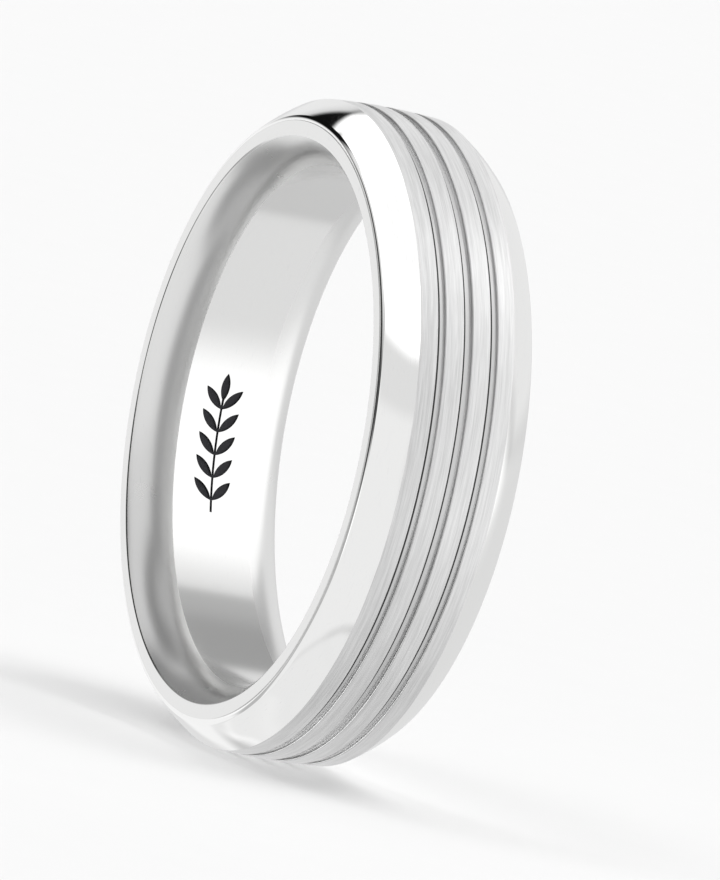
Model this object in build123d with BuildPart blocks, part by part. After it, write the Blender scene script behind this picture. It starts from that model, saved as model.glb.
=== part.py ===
from build123d import *
import math
import os

# A comfort-fit wedding band standing on its edge.
# The finger axis runs along Y, the front rim faces -Y, +Z is up, and the origin is the centre of the bore.
# All sizes are in millimetres.

# Finger and band
BORE_RADIUS = 9.55
BAND_WIDTH = 6.0
FLAT_BORE_LENGTH = 3.06
COMFORT_BREAK_DEG = 6.0

# Narrow flat rims, which are the two ends of the liner sleeve
RIM_INNER_RADIUS = 10.40
RIM_OUTER_RADIUS = 10.92
RIM_EDGE_ROUND = 0.15
SEAM_CHAMFER = 0.025

# Crowned centre with three turned grooves, between two polished shoulders
CROWN_RADIUS = 11.95
SHOULDER_TOP_RADIUS = 11.88
SHOULDER_WIDTH = 1.15
SHOULDER_BULGE = 0.036
NOSE_HEIGHT = 0.21
NOSE_LENGTH = 0.125
NOSE_DROP = 0.03
GROOVE_PITCH = 1.03
SIDE_GROOVE_WIDTH = 0.27
MIDDLE_GROOVE_WIDTH = 0.32
GROOVE_DEPTH = 0.15
GROOVE_EDGE_CHAMFER = 0.02
GROOVE_CORNER_ROUND = 0.03

# Turned spigots that centre the shoulder rings inside the ends of the centre band
SPIGOT_RADIUS = 11.35
SPIGOT_LENGTH = 0.45

# Leaf sprig engraved in the bore, on the -X side
ENGRAVING_DEPTH = 0.07
SPRIG_CENTRE_DEG = -13.5
SPRIG_CENTRE_Y = 0.0
STEM_WIDTH = 0.09
STEM_SPAN_DEG = 28.0
LEAF_LENGTH = 1.05
LEAF_BULGE = 0.17
LEAF_PAIRS = 5
LEAF_LEAN_DEG = 42.0

half_width = BAND_WIDTH / 2
half_flat = FLAT_BORE_LENGTH / 2
half_centre = half_width - SHOULDER_WIDTH
groove_floor_radius = CROWN_RADIUS - GROOVE_DEPTH
leaf_offset = LEAF_LENGTH / 2 * math.sin(math.radians(LEAF_LEAN_DEG)) + STEM_WIDTH / 4
comfort_break = math.radians(COMFORT_BREAK_DEG)

os.makedirs("parts", exist_ok=True)


def leaf_outline(angle_deg, y, lean_deg):
    """Pointed leaf on a plane that touches the bore, at an angle above the -X direction."""
    angle = math.radians(angle_deg)
    outward = Vector(-math.cos(angle), 0, math.sin(angle))
    along_stem = Vector(math.sin(angle), 0, math.cos(angle))
    touching = Plane(origin=outward * BORE_RADIUS + Vector(0, y, 0), x_dir=along_stem, z_dir=outward)
    with BuildSketch(touching.rotated((0, 0, lean_deg))) as leaf:
        with BuildLine():
            root = (-LEAF_LENGTH / 2, 0)
            tip = (LEAF_LENGTH / 2, 0)
            ThreePointArc(root, (0, LEAF_BULGE), tip)
            ThreePointArc(tip, (0, -LEAF_BULGE), root)
        make_face()
    return leaf.sketch


def shoulder_outline(side):
    """Half section of a shoulder ring: spigot, butting face, convex shoulder, and a nose that rolls over."""
    butt_y = side * half_centre
    spigot_y = side * (half_centre - SPIGOT_LENGTH)
    top = Vector(SHOULDER_TOP_RADIUS, butt_y)
    brow = Vector(RIM_OUTER_RADIUS + NOSE_HEIGHT, side * (half_width - NOSE_LENGTH))
    nose = Vector(RIM_OUTER_RADIUS, side * (half_width - NOSE_DROP))
    bulge = Vector(abs(top.Y - brow.Y), side * (top.X - brow.X)).normalized() * SHOULDER_BULGE
    with BuildSketch(Plane.XY) as outline:
        with BuildLine():
            Polyline(
                nose,
                (RIM_OUTER_RADIUS, spigot_y),
                (SPIGOT_RADIUS, spigot_y),
                (SPIGOT_RADIUS, butt_y),
                top,
            )
            shoulder = ThreePointArc(top, (top + brow) / 2 + bulge, brow)
            TangentArc(brow, nose, tangent=shoulder % 1)
        make_face()
    return outline.sketch


# Liner sleeve: flat bore, comfort curves that leave it at a slight crease, and the two rims
with BuildPart() as liner_sleeve:
    with BuildSketch(Plane.XY) as liner_profile:
        with BuildLine():
            Line((BORE_RADIUS, -half_flat), (BORE_RADIUS, half_flat))
            for side in (-1, 1):
                TangentArc(
                    (BORE_RADIUS, side * half_flat),
                    (RIM_INNER_RADIUS, side * half_width),
                    tangent=(math.sin(comfort_break), side * math.cos(comfort_break)),
                )
            Line((RIM_INNER_RADIUS, half_width), (RIM_OUTER_RADIUS, half_width))
            Line((RIM_OUTER_RADIUS, half_width), (RIM_OUTER_RADIUS, -half_width))
            Line((RIM_OUTER_RADIUS, -half_width), (RIM_INNER_RADIUS, -half_width))
        make_face()
        rim_corners = liner_profile.vertices().filter_by(lambda v: abs(abs(v.Y) - half_width) < 1e-6)
        fillet(rim_corners.filter_by(lambda v: v.X < RIM_OUTER_RADIUS - 0.1), RIM_EDGE_ROUND)
        outer_corners = liner_profile.vertices().filter_by(lambda v: abs(v.X - RIM_OUTER_RADIUS) < 1e-6)
        chamfer(outer_corners, SEAM_CHAMFER)
    revolve(axis=Axis.Y)

    # Stem of the sprig: a short turned arc, centred on the sprig
    stem_end = SPRIG_CENTRE_DEG - STEM_SPAN_DEG / 2
    with BuildSketch(Plane.XY.rotated((0, 180 + stem_end, 0))):
        with Locations((BORE_RADIUS, SPRIG_CENTRE_Y)):
            Rectangle(2 * ENGRAVING_DEPTH, STEM_WIDTH)
    revolve(axis=Axis.Y, revolution_arc=STEM_SPAN_DEG, mode=Mode.SUBTRACT)

    leaf_step = STEM_SPAN_DEG / (LEAF_PAIRS + 0.5)
    for pair in range(LEAF_PAIRS):
        leaf_angle = stem_end + (pair + 1) * leaf_step
        for side in (-1, 1):
            leaf = leaf_outline(leaf_angle, SPRIG_CENTRE_Y + side * leaf_offset, side * LEAF_LEAN_DEG)
            extrude(leaf, amount=ENGRAVING_DEPTH, both=True, mode=Mode.SUBTRACT)
    end_leaf = leaf_outline(SPRIG_CENTRE_DEG + STEM_SPAN_DEG / 2, SPRIG_CENTRE_Y, 0)
    extrude(end_leaf, amount=ENGRAVING_DEPTH, both=True, mode=Mode.SUBTRACT)
liner_sleeve.part.label = "liner_sleeve"
export_step(liner_sleeve.part, "parts/liner_sleeve.step")


# Polished shoulder rings: pressed on the sleeve, with a spigot under each end of the centre band
with BuildPart() as front_shoulder_ring:
    revolve(shoulder_outline(-1), axis=Axis.Y)
front_shoulder_ring.part.label = "front_shoulder_ring"
export_step(front_shoulder_ring.part, "parts/front_shoulder_ring.step")

with BuildPart() as rear_shoulder_ring:
    revolve(shoulder_outline(1), axis=Axis.Y)
rear_shoulder_ring.part.label = "rear_shoulder_ring"
export_step(rear_shoulder_ring.part, "parts/rear_shoulder_ring.step")


# Centre band: crowned outside, three turned grooves, and a counterbore at each end for the spigots
with BuildPart() as grooved_centre_band:
    with BuildSketch(Plane.XY) as band_profile:
        with BuildLine():
            ThreePointArc(
                (SHOULDER_TOP_RADIUS, -half_centre), (CROWN_RADIUS, 0), (SHOULDER_TOP_RADIUS, half_centre)
            )
            Polyline(
                (SHOULDER_TOP_RADIUS, half_centre),
                (SPIGOT_RADIUS, half_centre),
                (SPIGOT_RADIUS, half_centre - SPIGOT_LENGTH),
                (RIM_OUTER_RADIUS, half_centre - SPIGOT_LENGTH),
                (RIM_OUTER_RADIUS, SPIGOT_LENGTH - half_centre),
                (SPIGOT_RADIUS, SPIGOT_LENGTH - half_centre),
                (SPIGOT_RADIUS, -half_centre),
                (SHOULDER_TOP_RADIUS, -half_centre),
            )
        make_face()
        for groove_y, groove_width in (
            (-GROOVE_PITCH, SIDE_GROOVE_WIDTH),
            (0, MIDDLE_GROOVE_WIDTH),
            (GROOVE_PITCH, SIDE_GROOVE_WIDTH),
        ):
            with Locations((groove_floor_radius + GROOVE_DEPTH, groove_y)):
                Rectangle(2 * GROOVE_DEPTH, groove_width, mode=Mode.SUBTRACT)
        corners = band_profile.vertices().filter_by(lambda v: abs(v.Y) < half_centre - 0.1)
        floor_corners = corners.filter_by(lambda v: abs(v.X - groove_floor_radius) < 1e-6)
        fillet(floor_corners, GROOVE_CORNER_ROUND)
        lip_corners = band_profile.vertices().filter_by(
            lambda v: abs(v.Y) < half_centre - 0.1 and v.X > groove_floor_radius + GROOVE_DEPTH / 2
        )
        chamfer(lip_corners, GROOVE_EDGE_CHAMFER)
    revolve(axis=Axis.Y)
grooved_centre_band.part.label = "grooved_centre_band"
export_step(grooved_centre_band.part, "parts/grooved_centre_band.step")
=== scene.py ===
import math

import bmesh
import bpy
from mathutils import Matrix, Quaternion, Vector


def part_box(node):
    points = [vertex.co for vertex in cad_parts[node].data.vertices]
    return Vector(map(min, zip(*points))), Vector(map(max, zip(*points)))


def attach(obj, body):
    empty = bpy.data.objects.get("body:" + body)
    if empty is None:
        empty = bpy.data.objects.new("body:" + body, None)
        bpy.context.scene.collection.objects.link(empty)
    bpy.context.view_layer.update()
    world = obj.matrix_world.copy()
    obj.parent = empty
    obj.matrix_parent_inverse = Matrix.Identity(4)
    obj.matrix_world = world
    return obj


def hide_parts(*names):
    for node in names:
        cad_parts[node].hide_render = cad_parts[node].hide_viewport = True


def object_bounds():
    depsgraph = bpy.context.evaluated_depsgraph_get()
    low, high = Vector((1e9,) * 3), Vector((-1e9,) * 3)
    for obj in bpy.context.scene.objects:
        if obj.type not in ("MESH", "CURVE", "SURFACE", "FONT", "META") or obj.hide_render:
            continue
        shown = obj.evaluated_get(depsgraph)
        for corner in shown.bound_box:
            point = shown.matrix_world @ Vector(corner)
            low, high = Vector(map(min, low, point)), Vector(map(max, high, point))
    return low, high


# A comfort-fit wedding band standing on its edge on a pale floor.
# The CAD frame: the finger axis is Y, the front rim faces -Y, +Z is up, and the origin is the bore's centre.

MM = 0.001

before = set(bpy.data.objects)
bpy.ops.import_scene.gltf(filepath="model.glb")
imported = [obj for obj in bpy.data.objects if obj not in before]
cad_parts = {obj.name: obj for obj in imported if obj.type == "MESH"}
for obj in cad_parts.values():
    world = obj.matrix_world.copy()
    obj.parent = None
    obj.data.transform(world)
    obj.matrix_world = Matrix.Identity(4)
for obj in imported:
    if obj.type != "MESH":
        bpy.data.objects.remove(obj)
cad_low, cad_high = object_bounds()


# ---------------------------------------------------------------- sizes of the band, in millimetres

def cad_size(node):
    """Largest radius and half length of a CAD ring."""
    low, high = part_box(node)
    return high[2] / MM, high[1] / MM


crown_radius, half_centre = cad_size("grooved_centre_band")
rim_outer_radius, half_width = cad_size("liner_sleeve")
shoulder_top_radius = cad_size("rear_shoulder_ring")[0]

BORE_RADIUS = 9.55
HALF_FLAT_BORE = 1.53
COMFORT_BREAK_DEG = 6.0
RIM_INNER_RADIUS = 10.40
RIM_EDGE_ROUND = 0.15
SEAM_ROUND = 0.025

NOSE_HEIGHT = 0.21
NOSE_LENGTH = 0.125
NOSE_DROP = 0.03
SHOULDER_BULGE = 0.036

SPIGOT_RADIUS = 11.35
SPIGOT_LENGTH = 0.45
# Each groove's place along the finger axis, and its width.
GROOVES = ((-1.03, 0.27), (0.0, 0.32), (1.03, 0.27))
GROOVE_DEPTH = 0.15
GROOVE_LIP_ROUND = 0.045
GROOVE_FOOT_ROUND = 0.03
groove_floor_radius = crown_radius - GROOVE_DEPTH

ENGRAVING_DEPTH = 0.07
SPRIG_CENTRE_DEG = -13.5
STEM_WIDTH = 0.09
STEM_SPAN_DEG = 28.0
LEAF_LENGTH = 1.05
LEAF_BULGE = 0.17
LEAF_PAIRS = 5
LEAF_LEAN_DEG = 42.0

# Fineness of the meshes. An arc that turns less than STRAIGHT_DEG is a straight line, an edge sharper than
# SHARP_DEG stays crisp, and the liner's outline closes with a straight of CLOSING_LENGTH.
TURNS = 720
ARC_STEP_DEG = 4.0
LAND_STEPS = 12
STEM_STEPS = 28
STRAIGHT_DEG = 1e-6
SHARP_DEG = 5.0
CLOSING_LENGTH = 0.1


# ---------------------------------------------------------------- turned rings

def turned(vector, degrees):
    return Matrix.Rotation(math.radians(degrees), 2) @ vector


def turn_between(first, second):
    """Signed angle from one direction to another, in degrees."""
    cross = first.x * second.y - first.y * second.x
    return math.degrees(math.atan2(cross, first.dot(second)))


def arc(start, end, turn):
    """Points of a circular arc whose direction turns by this many degrees from start to end."""
    start, end = Vector(start), Vector(end)
    steps = max(1, math.ceil(abs(turn) / ARC_STEP_DEG))
    chord = end - start
    points = [start]
    for step in range(1, steps + 1):
        share = step / steps
        scale = share
        if abs(turn) > STRAIGHT_DEG:
            scale = math.sin(math.radians(share * turn / 2)) / math.sin(math.radians(turn / 2))
        points.append(start + turned(chord * scale, (share - 1) * turn / 2))
    return points


def joined(before, after, radius):
    """Two runs of points that meet at a corner, joined there by a small arc, or by none at radius 0."""
    if radius == 0.0:
        return before + after[1:]
    corner = before[-1]
    inward = (corner - before[-2]).normalized()
    outward = (after[1] - corner).normalized()
    turn = turn_between(inward, outward)
    reach = radius * math.tan(math.radians(abs(turn) / 2))
    kept_before = [point for point in before if (point - corner).length > reach]
    kept_after = [point for point in after if (point - corner).length > reach]
    return kept_before + arc(corner - inward * reach, corner + outward * reach, turn) + kept_after


def run(*points):
    """Points in a row, as vectors."""
    return [Vector(point) for point in points]


def chain(first, *others):
    """One run from several, each given with the radius of the corner that it starts at."""
    points = first
    for radius, other in others:
        points = joined(points, other, radius)
    return points


def lathe(name, outline):
    """A ring with this half section (radius, place along the finger axis), turned about the finger axis."""
    mesh = bpy.data.meshes.new(name)
    count = len(outline)
    vertices = []
    for turn in range(TURNS):
        angle = 2 * math.pi * turn / TURNS
        across, up = math.cos(angle) * MM, math.sin(angle) * MM
        vertices += [(point.x * across, point.y * MM, point.x * up) for point in outline]
    faces = []
    for turn in range(TURNS):
        here, there = turn * count, (turn + 1) % TURNS * count
        for index in range(count):
            after = (index + 1) % count
            faces.append((here + index, here + after, there + after, there + index))
    mesh.from_pydata(vertices, [], faces)
    made = bpy.data.objects.new(name, mesh)
    bpy.context.scene.collection.objects.link(made)
    tidy_shading(made)
    return made


def tidy_shading(piece):
    """Outward faces, smooth curves, and edges that stay crisp."""
    shell = bmesh.new()
    shell.from_mesh(piece.data)
    bmesh.ops.recalc_face_normals(shell, faces=shell.faces)
    shell.to_mesh(piece.data)
    shell.free()
    piece.data.shade_smooth()
    piece.data.set_sharp_from_angle(angle=math.radians(SHARP_DEG))


def finished(piece, node):
    """Flat faces keep flat shading beside their rounded edges, and the piece stands for its CAD node."""
    weighted = piece.modifiers.new("flat_faces", "WEIGHTED_NORMAL")
    weighted.keep_sharp = True
    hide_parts(node)
    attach(piece, "root")


def liner_outline():
    """Bore, comfort curves and flat rims, from the middle of the outside round to it again."""
    crease = run((BORE_RADIUS, -HALF_FLAT_BORE), (BORE_RADIUS, HALF_FLAT_BORE))
    lean = math.radians(COMFORT_BREAK_DEG)
    at_crease = Vector((math.sin(lean), math.cos(lean)))
    to_rim = Vector((RIM_INNER_RADIUS - BORE_RADIUS, half_width - HALF_FLAT_BORE))
    comfort_turn = 2 * turn_between(at_crease, to_rim)
    front_corner, rear_corner = (RIM_INNER_RADIUS, -half_width), (RIM_INNER_RADIUS, half_width)
    return chain(
        run((rim_outer_radius, 0), (rim_outer_radius, -half_width)),
        (SEAM_ROUND, run((rim_outer_radius, -half_width), front_corner)),
        (RIM_EDGE_ROUND, arc(front_corner, crease[0], comfort_turn)),
        (0.0, crease),
        (0.0, arc(crease[1], rear_corner, comfort_turn)),
        (RIM_EDGE_ROUND, run(rear_corner, (rim_outer_radius, half_width))),
        (SEAM_ROUND, run((rim_outer_radius, half_width), (rim_outer_radius, CLOSING_LENGTH))),
    )


def shoulder_outline(side):
    """Spigot, bulging shoulder and rolled-over nose; side is -1 in front and 1 behind."""
    spigot_y = side * (half_centre - SPIGOT_LENGTH)
    butt_y = side * half_centre
    top = Vector((shoulder_top_radius, butt_y))
    brow = Vector((rim_outer_radius + NOSE_HEIGHT, side * (half_width - NOSE_LENGTH)))
    nose = Vector((rim_outer_radius, side * (half_width - NOSE_DROP)))
    turn = side * 4 * math.degrees(math.atan(2 * SHOULDER_BULGE / (brow - top).length))
    nose_turn = 2 * turn_between(turned(brow - top, turn / 2), nose - brow)
    return chain(
        run(nose, (rim_outer_radius, spigot_y), (SPIGOT_RADIUS, spigot_y), (SPIGOT_RADIUS, butt_y), top),
        (0.0, arc(top, brow, turn)),
        (0.0, arc(brow, nose, nose_turn)[:-1]),
    )


def crown(start, end):
    """The centre band's slightly crowned face between two places along the finger axis."""
    dip = crown_radius - shoulder_top_radius
    curve = (half_centre ** 2 + dip ** 2) / (2 * dip)
    places = [start + (end - start) * step / LAND_STEPS for step in range(LAND_STEPS + 1)]
    return [Vector((crown_radius - curve + math.sqrt(curve ** 2 - y ** 2), y)) for y in places]


def band_outline():
    """Crowned lands with the grooves between them, over a counterbore at each end."""
    recess_y = half_centre - SPIGOT_LENGTH
    points = run(
        (rim_outer_radius, 0),
        (rim_outer_radius, -recess_y),
        (SPIGOT_RADIUS, -recess_y),
        (SPIGOT_RADIUS, -half_centre),
        (shoulder_top_radius, -half_centre),
    )
    land_start, lip_round = -half_centre, 0.0
    for place, width in GROOVES:
        front, rear = place - width / 2, place + width / 2
        front_foot, rear_foot = (groove_floor_radius, front), (groove_floor_radius, rear)
        land = crown(land_start, front)
        points = chain(
            points,
            (lip_round, land),
            (GROOVE_LIP_ROUND, run(land[-1], front_foot)),
            (GROOVE_FOOT_ROUND, run(front_foot, rear_foot)),
            (GROOVE_FOOT_ROUND, run(rear_foot, crown(rear, rear)[0])),
        )
        land_start, lip_round = rear, GROOVE_LIP_ROUND
    points = joined(points, crown(land_start, half_centre), lip_round)
    return points + run(
        (SPIGOT_RADIUS, half_centre),
        (SPIGOT_RADIUS, recess_y),
        (rim_outer_radius, recess_y),
    )


# ---------------------------------------------------------------- engraved sprig

def prism(shell, rings):
    """A closed solid through equal rings of points."""
    rows = [[shell.verts.new(point) for point in ring] for ring in rings]
    for row, following in zip(rows, rows[1:]):
        for index in range(len(row)):
            after = (index + 1) % len(row)
            shell.faces.new((row[index], row[after], following[after], following[index]))
    shell.faces.new(rows[0])
    shell.faces.new(list(reversed(rows[-1])))


def bore_directions(angle_deg):
    """Outward, and along the stem, at an angle above the -X direction."""
    angle = math.radians(angle_deg)
    return Vector((-math.cos(angle), 0, math.sin(angle))), Vector((math.sin(angle), 0, math.cos(angle)))


def leaf_cutter(shell, angle_deg, y, lean_deg):
    """Pointed leaf that lies against the bore at an angle above the -X direction."""
    outward, along_stem = bore_directions(angle_deg)
    lean = math.radians(lean_deg)
    along = along_stem * math.cos(lean) + Vector((0, math.sin(lean), 0))
    across = Vector((0, math.cos(lean), 0)) - along_stem * math.sin(lean)
    turn = 4 * math.degrees(math.atan(2 * LEAF_BULGE / LEAF_LENGTH))
    root, tip = (-LEAF_LENGTH / 2, 0), (LEAF_LENGTH / 2, 0)
    outline = arc(root, tip, turn)[:-1] + arc(tip, root, turn)[:-1]
    centre = outward * BORE_RADIUS + Vector((0, y, 0))
    flat = [centre + along * point.x + across * point.y for point in outline]
    depths = (-ENGRAVING_DEPTH, ENGRAVING_DEPTH)
    prism(shell, [[(point + outward * depth) * MM for point in flat] for depth in depths])


def sprig_cutter():
    """Stem, pairs of leaves and end leaf, as one closed cutter."""
    shell = bmesh.new()
    stem_end = SPRIG_CENTRE_DEG - STEM_SPAN_DEG / 2
    corners = ((-1, -1), (-1, 1), (1, 1), (1, -1))
    rings = []
    for step in range(STEM_STEPS + 1):
        outward = bore_directions(stem_end + STEM_SPAN_DEG * step / STEM_STEPS)[0]
        rings.append([
            (outward * (BORE_RADIUS + deep * ENGRAVING_DEPTH) + Vector((0, wide * STEM_WIDTH / 2, 0))) * MM
            for deep, wide in corners
        ])
    prism(shell, rings)
    leaf_step = STEM_SPAN_DEG / (LEAF_PAIRS + 0.5)
    leaf_offset = LEAF_LENGTH / 2 * math.sin(math.radians(LEAF_LEAN_DEG)) + STEM_WIDTH / 4
    for pair in range(LEAF_PAIRS):
        for side in (-1, 1):
            leaf_cutter(shell, stem_end + (pair + 1) * leaf_step, side * leaf_offset, side * LEAF_LEAN_DEG)
    leaf_cutter(shell, stem_end + STEM_SPAN_DEG, 0, 0)
    bmesh.ops.recalc_face_normals(shell, faces=shell.faces)
    mesh = bpy.data.meshes.new("sprig_cutter")
    shell.to_mesh(mesh)
    shell.free()
    made = bpy.data.objects.new("sprig_cutter", mesh)
    bpy.context.scene.collection.objects.link(made)
    return made


def engrave(piece):
    """Cuts the sprig into the bore as real pockets."""
    cutter = sprig_cutter()
    cut = piece.modifiers.new("engraving", "BOOLEAN")
    cut.operation = "DIFFERENCE"
    cut.solver = "EXACT"
    cut.use_self = True
    cut.object = cutter
    depsgraph = bpy.context.evaluated_depsgraph_get()
    engraved = bpy.data.meshes.new_from_object(piece.evaluated_get(depsgraph))
    piece.modifiers.clear()
    piece.data = engraved
    bpy.data.objects.remove(cutter)
    tidy_shading(piece)


liner = lathe("liner", liner_outline())
engrave(liner)
front_shoulder = lathe("front_shoulder", shoulder_outline(-1))
rear_shoulder = lathe("rear_shoulder", shoulder_outline(1))
centre_band = lathe("centre_band", band_outline())
finished(liner, "liner_sleeve")
finished(front_shoulder, "front_shoulder_ring")
finished(rear_shoulder, "rear_shoulder_ring")
finished(centre_band, "grooved_centre_band")


# ---------------------------------------------------------------- node helpers

class Nodes:
    """Short ways to add and link shader nodes."""

    def __init__(self, tree):
        self.tree = tree
        self.tree.nodes.clear()

    def add(self, kind, **settings):
        node = self.tree.nodes.new(kind)
        for name, value in settings.items():
            setattr(node, name, value)
        return node

    def feed(self, socket, value):
        if isinstance(value, bpy.types.NodeSocket):
            self.tree.links.new(value, socket)
        else:
            socket.default_value = value

    def math(self, operation, *values):
        node = self.add("ShaderNodeMath", operation=operation)
        for socket, value in zip(node.inputs, values):
            self.feed(socket, value)
        return node.outputs[0]

    def step(self, value, start, end):
        """0 at start, 1 at end, smooth between them; end may be the smaller one."""
        node = self.add("ShaderNodeMapRange", interpolation_type="SMOOTHSTEP")
        for name, setting in (("Value", value), ("From Min", start), ("From Max", end)):
            self.feed(node.inputs[name], setting)
        return node.outputs[0]

    def spread(self, value, low, high):
        """A 0 to 1 value carried to the range low to high."""
        node = self.add("ShaderNodeMapRange")
        for name, setting in (("Value", value), ("To Min", low), ("To Max", high)):
            self.feed(node.inputs[name], setting)
        return node.outputs[0]

    def mix(self, factor, a, b):
        node = self.add("ShaderNodeMix", data_type="RGBA")
        self.feed(node.inputs["Factor"], factor)
        self.feed(node.inputs[6], a)
        self.feed(node.inputs[7], b)
        return node.outputs[2]

    def noise(self, scale, detail):
        """Noise in object space, with its own scale along each axis."""
        place = self.add("ShaderNodeTexCoord").outputs["Object"]
        stretch = self.add("ShaderNodeMapping")
        self.feed(stretch.inputs["Vector"], place)
        self.feed(stretch.inputs["Scale"], scale)
        node = self.add("ShaderNodeTexNoise")
        self.feed(node.inputs["Vector"], stretch.outputs[0])
        self.feed(node.inputs["Scale"], 1.0)
        self.feed(node.inputs["Detail"], detail)
        return node.outputs["Fac"]

    def cylinder_place(self):
        """Radius about the finger axis, and place along it."""
        place = self.add("ShaderNodeSeparateXYZ")
        self.feed(place.inputs[0], self.add("ShaderNodeTexCoord").outputs["Object"])
        across = self.math("MULTIPLY", place.outputs["X"], place.outputs["X"])
        up = self.math("MULTIPLY", place.outputs["Z"], place.outputs["Z"])
        return self.math("SQRT", self.math("ADD", across, up)), place.outputs["Y"]


def grey(value):
    return (value, value, value, 1.0)


def new_material(name):
    made = bpy.data.materials.new(name)
    made.use_nodes = True
    return made, Nodes(made.node_tree)


def metal_surface(nodes, colour, roughness, normal, anisotropic=0.0):
    """The metal shader itself, with its tangent running round the band."""
    shader = nodes.add("ShaderNodeBsdfPrincipled")
    nodes.feed(shader.inputs["Base Color"], colour)
    nodes.feed(shader.inputs["Metallic"], 1.0)
    nodes.feed(shader.inputs["Roughness"], roughness)
    if anisotropic:
        nodes.feed(shader.inputs["Anisotropic"], anisotropic)
        tangent = nodes.add("ShaderNodeTangent", direction_type="RADIAL", axis="Y")
        nodes.feed(shader.inputs["Tangent"], tangent.outputs[0])
    nodes.feed(shader.inputs["Normal"], normal)
    output = nodes.add("ShaderNodeOutputMaterial")
    nodes.feed(output.inputs["Surface"], shader.outputs[0])


def bumped(nodes, height, distance):
    """The surface normal with this relief on it."""
    bump = nodes.add("ShaderNodeBump")
    nodes.feed(bump.inputs["Height"], height)
    nodes.feed(bump.inputs["Distance"], distance)
    return bump.outputs[0]


def buffing(nodes):
    """Hairlines round the band, the stronger ones as marks, and a cloudy haze."""
    hairlines = nodes.noise((2500, 26000, 2500), detail=2.0)
    haze = nodes.noise((700, 700, 700), detail=4.0)
    return hairlines, haze, nodes.step(hairlines, 0.62, 0.80)


# ---------------------------------------------------------------- metals

# Where one finish or painted shade gives way to another: from and to, in mm from the surface or edge in the
# name.
LAND_ABOVE_GROOVE_FLOOR = (0.05, 0.07)
WALL_ABOVE_GROOVE_FLOOR = (0.03, 0.015)
# The painted shade in each groove starts this far before the front wall, and fades out between these two
# distances into the groove.
PAINTED_SHADE_BEFORE_GROOVE = 0.01
PAINTED_SHADE_INTO_GROOVE = (0.112, 0.094)
ENGRAVED_BELOW_BORE = (0.012, 0.022)
ENGRAVED_HALF_WIDTH = (1.40, 1.38)
RIM_FROM_END = (-0.04, -0.01)
CURVE_FROM_CREASE = (-0.03, 0.03)

BUFFED_DEPTH = 0.0002 * MM
BRUSHED_DEPTH = 0.003 * MM


def change(base, offsets):
    """Where a change of finish or of painted shade starts and ends, in metres."""
    return [(base + offset) * MM for offset in offsets]


def polished_platinum():
    """Mirror polish with the faint haze and hairlines that a buffing wheel leaves."""
    made, nodes = new_material("polished_platinum")
    hairlines, haze, marks = buffing(nodes)
    roughness = nodes.math("ADD", nodes.spread(haze, 0.03, 0.07), nodes.math("MULTIPLY", marks, 0.05))
    colour = nodes.mix(marks, (0.93, 0.93, 0.925, 1), grey(0.88))
    metal_surface(nodes, colour, roughness, bumped(nodes, hairlines, BUFFED_DEPTH))
    return made


def satin_platinum():
    """Lands brushed round the band; smoother grooves, with a painted shade line at the foot of the front
    wall.
    """
    made, nodes = new_material("satin_platinum")
    radius, along = nodes.cylinder_place()
    fine = nodes.noise((900, 60000, 900), detail=2.0)
    broad = nodes.noise((260, 9000, 260), detail=3.0)
    brushing = nodes.math("ADD", nodes.math("MULTIPLY", fine, 0.55), nodes.math("MULTIPLY", broad, 0.45))
    land = nodes.step(radius, *change(groove_floor_radius, LAND_ABOVE_GROOVE_FLOOR))
    tone = nodes.spread(nodes.step(brushing, 0.30, 0.70), 0.50, 0.68)
    land_colour = nodes.add("ShaderNodeCombineColor")
    for socket in land_colour.inputs:
        nodes.feed(socket, tone)
    groove_floor = nodes.step(radius, *change(groove_floor_radius, WALL_ABOVE_GROOVE_FLOOR))
    # Painted shade: a near-black line on each groove floor along its front wall, where that wall's shadow
    # falls.
    painted_front_shade = 0.0
    for place, width in GROOVES:
        front = place - width / 2
        within = nodes.math("GREATER_THAN", along, (front - PAINTED_SHADE_BEFORE_GROOVE) * MM)
        near = nodes.step(along, *change(front, PAINTED_SHADE_INTO_GROOVE))
        painted_front_shade = nodes.math("MAXIMUM", painted_front_shade, nodes.math("MULTIPLY", within, near))
    # Painted highlight: the lower groove walls are coloured lighter than the groove floor, so that the rear
    # walls look lit.
    groove_colour = nodes.mix(groove_floor, grey(0.86), grey(0.50))
    # This paints the shade line on the groove floors in near-black.
    groove_colour = nodes.mix(nodes.math("MULTIPLY", painted_front_shade, groove_floor), groove_colour, grey(0.04))
    colour = nodes.mix(land, groove_colour, land_colour.outputs[0])
    land_roughness = nodes.spread(brushing, 0.26, 0.46)
    groove_roughness = nodes.spread(groove_floor, 0.55, 0.34)
    lift = nodes.math("MULTIPLY", land, nodes.math("SUBTRACT", land_roughness, groove_roughness))
    roughness = nodes.math("ADD", groove_roughness, lift)
    height = nodes.math("MULTIPLY", land, brushing)
    metal_surface(nodes, colour, roughness, bumped(nodes, height, BRUSHED_DEPTH), anisotropic=0.5)
    return made


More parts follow.
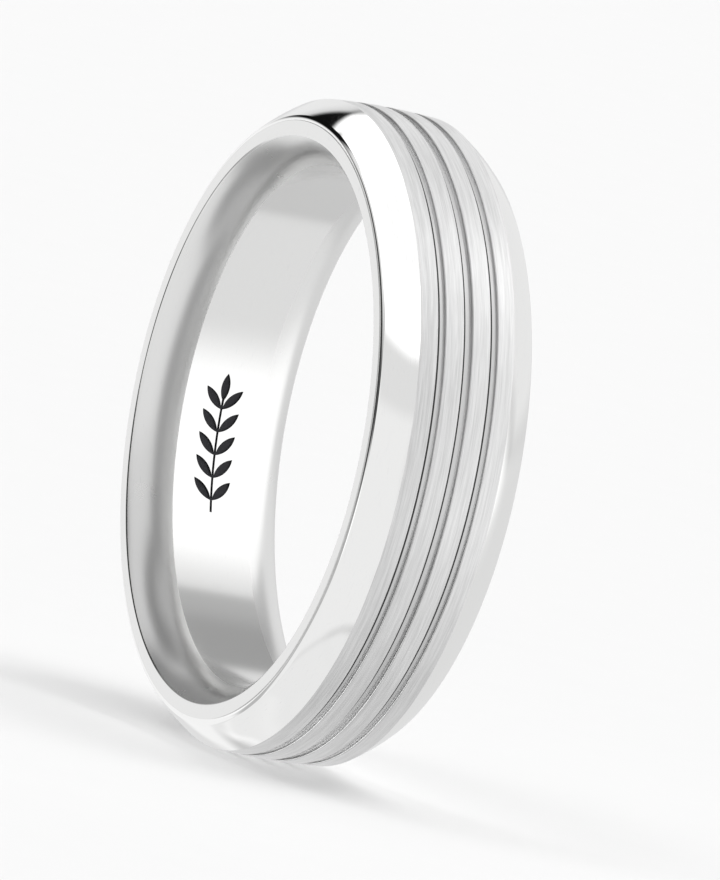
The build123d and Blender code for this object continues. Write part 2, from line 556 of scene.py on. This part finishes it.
def liner_platinum():
    """Polished bore and rims; the engraved sprig is darkened below the bore's surface."""
    made, nodes = new_material("liner_platinum")
    radius, along = nodes.cylinder_place()
    hairlines, haze, marks = buffing(nodes)
    across = nodes.math("ABSOLUTE", along)
    below = nodes.step(radius, *change(BORE_RADIUS, ENGRAVED_BELOW_BORE))
    inside = nodes.step(across, *change(0.0, ENGRAVED_HALF_WIDTH))
    engraved = nodes.math("MULTIPLY", below, inside)
    polish = nodes.mix(marks, (0.82, 0.82, 0.815, 1), grey(0.78))
    colour = nodes.mix(engraved, polish, (0.05, 0.05, 0.055, 1))
    rim = nodes.step(across, *change(half_width, RIM_FROM_END))
    curve = nodes.step(across, *change(HALF_FLAT_BORE, CURVE_FROM_CREASE))
    buffed = nodes.math("ADD", nodes.math("MULTIPLY", curve, 0.12), 0.16)
    buffed = nodes.math("MULTIPLY", buffed, nodes.math("SUBTRACT", 1.0, nodes.math("MULTIPLY", rim, 0.7)))
    smooth = nodes.math("ADD", nodes.spread(haze, -0.02, 0.02), nodes.math("MULTIPLY", marks, 0.04))
    smooth = nodes.math("ADD", smooth, buffed)
    roughness = nodes.math("MAXIMUM", smooth, nodes.math("MULTIPLY", engraved, 0.6))
    metal_surface(nodes, colour, roughness, bumped(nodes, hairlines, BUFFED_DEPTH))
    return made


def dress(piece, material):
    piece.data.materials.clear()
    piece.data.materials.append(material)


polished = polished_platinum()
dress(front_shoulder, polished)
dress(rear_shoulder, polished)
dress(centre_band, satin_platinum())
dress(liner, liner_platinum())


# ---------------------------------------------------------------- floor

# Metres along each side.
FLOOR_SIZE = 8.0


def pale_floor():
    """A plain pale floor. The metal reflects the studio in its place, so no horizon crosses the band."""
    bpy.ops.mesh.primitive_plane_add(size=FLOOR_SIZE, location=(0, 0, cad_low.z))
    made = bpy.context.object
    made.name = "floor"
    made.visible_glossy = False
    material, nodes = new_material("pale_floor")
    shader = nodes.add("ShaderNodeBsdfPrincipled")
    grain = nodes.noise((300, 300, 300), detail=4.0)
    nodes.feed(shader.inputs["Base Color"], nodes.mix(grain, grey(0.795), grey(0.805)))
    nodes.feed(shader.inputs["Roughness"], 0.9)
    nodes.feed(shader.inputs["Specular IOR Level"], 0.0)
    output = nodes.add("ShaderNodeOutputMaterial")
    nodes.feed(output.inputs["Surface"], shader.outputs[0])
    dress(made, material)
    return made


floor = pale_floor()


# ---------------------------------------------------------------- studio

# The metal reflects a grey room with softboxes and dark flags in it. Each window is a part of the room with
# its own brightness: azimuth from and to, elevation from and to, softness of its upright and level edges,
# brightness. A later window covers an earlier one. Angles are in degrees. Azimuth runs from +X towards -Y,
# and the front of the band faces 90.
BACKDROP = 0.956
ROOM = 0.51
ROOM_WINDOWS = (
    ("right wall, low", (-110, -13), (-100, 0), (8, 3), 0.87),
    ("right softbox", (-88, -13), (-20, 67), (3, 14), 1.32),
    ("backdrop", (-178, -90), (2, 34), (6, 6), 0.85),
    ("backdrop, low", (-178, -90), (-34, 2), (6, 6), 0.76),
    ("behind, below", (-178, -110), (-100, -36), (12, 4), 0.68),
    ("behind, above", (-178, -120), (34, 70), (12, 5), 0.40),
    ("camera", (16, 35), (-70, 70), (7, 5), 0.34),
    ("dark above the front softbox", (40, 168), (48, 68), (8, 5), 0.235),
    ("dark below the front softbox", (72, 185), (-66, -52), (6, 3), 0.33),
    ("front softbox", (37, 134), (-52, 51), (3, 2), 0.90),
    ("front softbox, high", (37, 134), (13, 51), (3, 3), 0.78),
    ("camera, high", (18, 43), (36, 72), (4, 4), 0.30),
    ("camera, low", (20, 41), (-72, -36), (4, 4), 0.34),
    ("left wall", (148, 190), (-38, 8), (3, 4), 0.96),
    ("dark beside the front softbox", (130, 176), (-56, -42), (4, 4), 0.30),
    ("black flag", (112, 148), (-17, 27), (3, 3), 0.04),
    ("black flag, near", (92, 112), (-2, 27), (3, 4), 0.04),
    ("black flag, high", (136, 165), (24, 40), (3, 4), 0.08),
    ("gap under the overhead softbox", (148, 181), (11, 39), (2, 3), 0.005),
)


def direction_angles(nodes, coordinate):
    """Azimuth and elevation of a place on a far dome about the band, in degrees."""
    direction = nodes.add("ShaderNodeVectorMath", operation="NORMALIZE")
    nodes.feed(direction.inputs[0], nodes.add("ShaderNodeTexCoord").outputs[coordinate])
    place = nodes.add("ShaderNodeSeparateXYZ")
    nodes.feed(place.inputs[0], direction.outputs[0])
    turn = nodes.math("ARCTAN2", nodes.math("MULTIPLY", place.outputs["Y"], -1.0), place.outputs["X"])
    tilt = nodes.math("ARCSINE", place.outputs["Z"])
    return nodes.math("MULTIPLY", turn, 180 / math.pi), nodes.math("MULTIPLY", tilt, 180 / math.pi)


def window_mask(nodes, azimuth, elevation, across, up, soft):
    """1 inside a window and 0 outside it, smooth at its edges."""
    middle, half = (across[0] + across[1]) / 2, (across[1] - across[0]) / 2
    away = nodes.math("ABSOLUTE", nodes.math("WRAP", nodes.math("SUBTRACT", azimuth, middle), 180, -180))
    beside = nodes.step(away, half + soft[0], half - soft[0])
    above = nodes.step(elevation, up[0] - soft[1], up[0] + soft[1])
    below = nodes.step(elevation, up[1] + soft[1], up[1] - soft[1])
    return nodes.math("MULTIPLY", beside, nodes.math("MULTIPLY", above, below))


def lit_windows(nodes, coordinate, windows, base):
    """The windows' brightness over that of the plain room."""
    azimuth, elevation = direction_angles(nodes, coordinate)
    light = grey(base)
    for _, across, up, soft, brightness in windows:
        light = nodes.mix(window_mask(nodes, azimuth, elevation, across, up, soft), light, grey(brightness))
    return light


def studio():
    """The room as the metal sees it, and the plain backdrop that the camera sees in its place."""
    world = bpy.data.worlds.new("studio")
    world.use_nodes = True
    bpy.context.scene.world = world
    world.cycles_visibility.diffuse = False
    nodes = Nodes(world.node_tree)
    room = lit_windows(nodes, "Generated", ROOM_WINDOWS, ROOM)
    seen = nodes.add("ShaderNodeLightPath").outputs["Is Camera Ray"]
    background = nodes.add("ShaderNodeBackground")
    nodes.feed(background.inputs["Color"], nodes.mix(seen, room, grey(BACKDROP)))
    output = nodes.add("ShaderNodeOutputWorld")
    nodes.feed(output.inputs["Surface"], background.outputs[0])


# Softboxes that only the shoulders reflect, added to the room's own light. The radius is in metres.
DOME_RADIUS = 3.0
DOME_SEGMENTS = 96
SHOULDER_WINDOWS = (
    ("overhead", (38, 140), (31, 100), (3, 4), 0.85),
    ("overhead, middle", (130, 167), (37, 100), (3, 1.5), 1.20),
    ("overhead, left", (164, 180), (33, 100), (2, 1.5), 1.20),
    ("below", (50, 180), (-76, -53), (8, 3), 0.36),
    ("below, middle", (72, 180), (-66, -53), (6, 3), 0.54),
    ("below, left", (130, 179), (-62, -40), (4, 4), 0.58),
    ("at the seam, low", (100, 150), (-17, -7), (5, 3), 0.45),
    ("at the seam, high", (96, 146), (12, 40), (4, 4), 0.75),
)


def shoulder_dome(receivers):
    """A clear dome about the band that glows where those softboxes are."""
    shell = bmesh.new()
    bmesh.ops.create_uvsphere(
        shell, u_segments=DOME_SEGMENTS, v_segments=DOME_SEGMENTS // 2, radius=DOME_RADIUS
    )
    mesh = bpy.data.meshes.new("shoulder_dome")
    shell.to_mesh(mesh)
    shell.free()
    made = bpy.data.objects.new("shoulder_dome", mesh)
    bpy.context.scene.collection.objects.link(made)
    material, nodes = new_material("shoulder_dome")
    material.cycles.emission_sampling = "NONE"
    glow = nodes.add("ShaderNodeEmission")
    nodes.feed(glow.inputs["Color"], lit_windows(nodes, "Object", SHOULDER_WINDOWS, 0.0))
    both = nodes.add("ShaderNodeAddShader")
    nodes.feed(both.inputs[0], nodes.add("ShaderNodeBsdfTransparent").outputs[0])
    nodes.feed(both.inputs[1], glow.outputs[0])
    output = nodes.add("ShaderNodeOutputMaterial")
    nodes.feed(output.inputs["Surface"], both.outputs[0])
    dress(made, material)
    made.visible_camera = False
    made.visible_diffuse = False
    made.visible_shadow = False
    made.light_linking.receiver_collection = receivers


# Distant soft lamps, each group for one thing only: the floor, the satin centre band or the liner. A lamp
# has an azimuth and an elevation as above, an angular size in degrees, and the brightness of its face.
FLOOR_LAMPS = (
    ("lamp_top", 0, 88, 50, 0.12),
    ("lamp_right", -38, 66, 34, 2.90),
    ("lamp_left", 120, 60, 20, 2.40),
)
BAND_LAMPS = (
    ("lamp_band_top", -115, 54, 80, 0.75),
    ("lamp_band_low", -35, -38, 64, 0.30),
    ("lamp_band_behind", -145, -45, 64, 0.35),
    ("lamp_lips_top", 125, 50, 70, 0.60),
    ("lamp_lips_low", 125, -42, 50, 2.00),
    ("lamp_band_front", 24, 5, 56, 0.85),
)
LINER_LAMPS = (
    ("lamp_inner", 166, 27, 36, 0.27),
)
# One more lamp for the floor casts no shadow, and so sets how pale the floor's shadow is.
FLOOR_FILL = ("lamp_fill", 0, 90, 90, 1.772)


def lamp(receivers, name, azimuth, elevation, size, brightness):
    """A lamp at a great distance, which lights only the receivers."""
    light = bpy.data.lights.new(name, "SUN")
    light.angle = math.radians(size)
    light.energy = brightness * math.pi * math.sin(light.angle / 2) ** 2
    made = bpy.data.objects.new(name, light)
    bpy.context.scene.collection.objects.link(made)
    turn, tilt = math.radians(azimuth), math.radians(elevation)
    towards = Vector((
        math.cos(turn) * math.cos(tilt),
        -math.sin(turn) * math.cos(tilt),
        math.sin(tilt),
    ))
    made.rotation_euler = towards.to_track_quat("Z", "Y").to_euler()
    made.visible_camera = False
    made.light_linking.receiver_collection = receivers
    return made


def group(name, objects):
    """A collection that lamps can be limited to."""
    made = bpy.data.collections.new(name)
    for member in objects:
        made.objects.link(member)
    return made


studio()
floor_only = group("floor_only", [floor])
for receivers, lamps in (
    (floor_only, FLOOR_LAMPS),
    (group("centre_only", [centre_band]), BAND_LAMPS),
    (group("liner_only", [liner]), LINER_LAMPS),
):
    for settings in lamps:
        lamp(receivers, *settings)
fill = lamp(floor_only, *FLOOR_FILL)
fill.data.use_shadow = False
shoulder_dome(group("shoulders", [front_shoulder, rear_shoulder]))


# ---------------------------------------------------------------- camera

# Azimuth here runs from -Y towards +X, in degrees; the distance is in metres and the lens in millimetres.
VIEW_AZIMUTH = 66.2
VIEW_ELEVATION = 5.0
VIEW_ROLL = 12.3
CAMERA_DISTANCE = 0.612
CAMERA_LENS = 695
AIM_RIGHT = 1.32 * MM
AIM_DOWN = 0.27 * MM


def camera():
    """A long lens a little above the band, rolled so that the band leans in the picture."""
    data = bpy.data.cameras.new("camera")
    data.lens = CAMERA_LENS
    data.sensor_width = 36
    data.clip_start = 0.01
    data.clip_end = 20
    made = bpy.data.objects.new("camera", data)
    bpy.context.scene.collection.objects.link(made)
    azimuth, elevation = math.radians(VIEW_AZIMUTH), math.radians(VIEW_ELEVATION)
    back = Vector((
        math.sin(azimuth) * math.cos(elevation),
        -math.cos(azimuth) * math.cos(elevation),
        math.sin(elevation),
    ))
    turn = (-back).to_track_quat("-Z", "Y") @ Quaternion((0, 0, 1), math.radians(VIEW_ROLL))
    aim = turn @ Vector((AIM_RIGHT, -AIM_DOWN, 0))
    made.rotation_mode = "QUATERNION"
    made.rotation_quaternion = turn
    made.location = aim + back * CAMERA_DISTANCE
    bpy.context.scene.camera = made


camera()
bpy.context.scene.view_settings.view_transform = "Standard"
